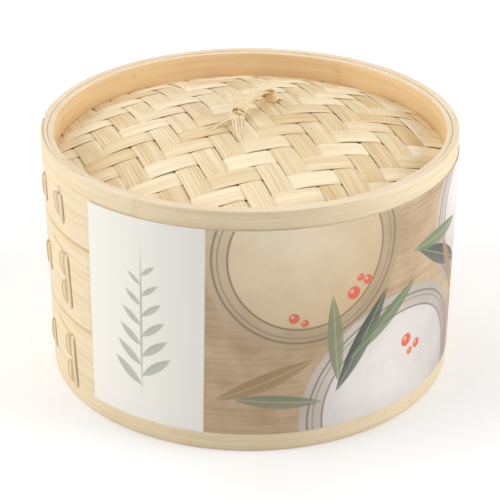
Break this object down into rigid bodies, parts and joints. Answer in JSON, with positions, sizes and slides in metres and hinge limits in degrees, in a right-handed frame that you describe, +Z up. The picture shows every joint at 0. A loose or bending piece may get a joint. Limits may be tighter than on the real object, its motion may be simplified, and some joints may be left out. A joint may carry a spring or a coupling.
{
  "type": "bamboo steamer basket set",
  "caption": "Stacking bamboo steamer baskets with slatted floors and a domed woven lid with a strap handle, in a paper sleeve.",
  "frame": {"origin": "centre of the stack on the surface that it stands on", "axes": "+Z up along the axis of the hoops, -Y towards the front with the paper sleeve, +X to the right"},
  "size_m": [0.2006, 0.2006, 0.1342],
  "materials": {
    "hoop_bamboo": "planed bamboo strip, satin",
    "inner_hoop_bamboo": "bamboo strip, skin side, satin",
    "floor_bamboo": "split bamboo, matt",
    "pin_bamboo": "bamboo end grain, matt",
    "lacing_cane": "split cane, satin",
    "split_bamboo": "thin split bamboo, satin with fine fibre lines",
    "printed_paper": "uncoated printed card, matt"
  },
  "bodies": {
    "lower_basket": {"lower_outer_hoop": "hoop_bamboo", "lower_inner_hoop": "inner_hoop_bamboo", "lower_base_ring": "floor_bamboo", "lower_bearer_left": "floor_bamboo", "lower_bearer_right": "floor_bamboo", "lower_slat_1": "floor_bamboo", "lower_slat_2": "floor_bamboo", "lower_slat_3": "floor_bamboo", "lower_slat_4": "floor_bamboo", "lower_slat_5": "floor_bamboo", "lower_slat_6": "floor_bamboo", "lower_slat_7": "floor_bamboo", "lower_slat_8": "floor_bamboo", "lower_slat_9": "floor_bamboo", "lower_bearer_pins": "pin_bamboo", "lower_hoop_pins": "pin_bamboo", "lower_lacing_front": "lacing_cane", "lower_lacing_rear": "lacing_cane"},
    "upper_basket": {"upper_outer_hoop": "hoop_bamboo", "upper_inner_hoop": "inner_hoop_bamboo", "upper_base_ring": "floor_bamboo", "upper_bearer_left": "floor_bamboo", "upper_bearer_right": "floor_bamboo", "upper_slat_1": "floor_bamboo", "upper_slat_2": "floor_bamboo", "upper_slat_3": "floor_bamboo", "upper_slat_4": "floor_bamboo", "upper_slat_5": "floor_bamboo", "upper_slat_6": "floor_bamboo", "upper_slat_7": "floor_bamboo", "upper_slat_8": "floor_bamboo", "upper_slat_9": "floor_bamboo", "upper_bearer_pins": "pin_bamboo", "upper_hoop_pins": "pin_bamboo", "upper_lacing_front": "lacing_cane", "upper_lacing_rear": "lacing_cane"},
    "lid": {"lid_outer_hoop": "hoop_bamboo", "lid_upper_inner_hoop": "inner_hoop_bamboo", "lid_lower_inner_hoop": "inner_hoop_bamboo", "lid_warp_strips": "split_bamboo", "lid_weft_strips": "split_bamboo", "lid_handle_loop": "split_bamboo", "lid_lacing_front": "lacing_cane", "lid_lacing_rear": "lacing_cane", "lid_hoop_pins": "pin_bamboo"},
    "sleeve": {"paper_sleeve": "printed_paper"}
  },
  "joints": [
    {"name": "upper_basket_lift", "type": "slide", "parent": "lower_basket", "child": "upper_basket", "axis": [0, 0, 1], "range_m": [0, 0.12]},
    {"name": "lid_lift", "type": "slide", "parent": "upper_basket", "child": "lid", "axis": [0, 0, 1], "range_m": [0, 0.12]},
    {"name": "sleeve_lift", "type": "slide", "parent": "lower_basket", "child": "sleeve", "axis": [0, 0, 1], "range_m": [0, 0.12]}
  ]
}
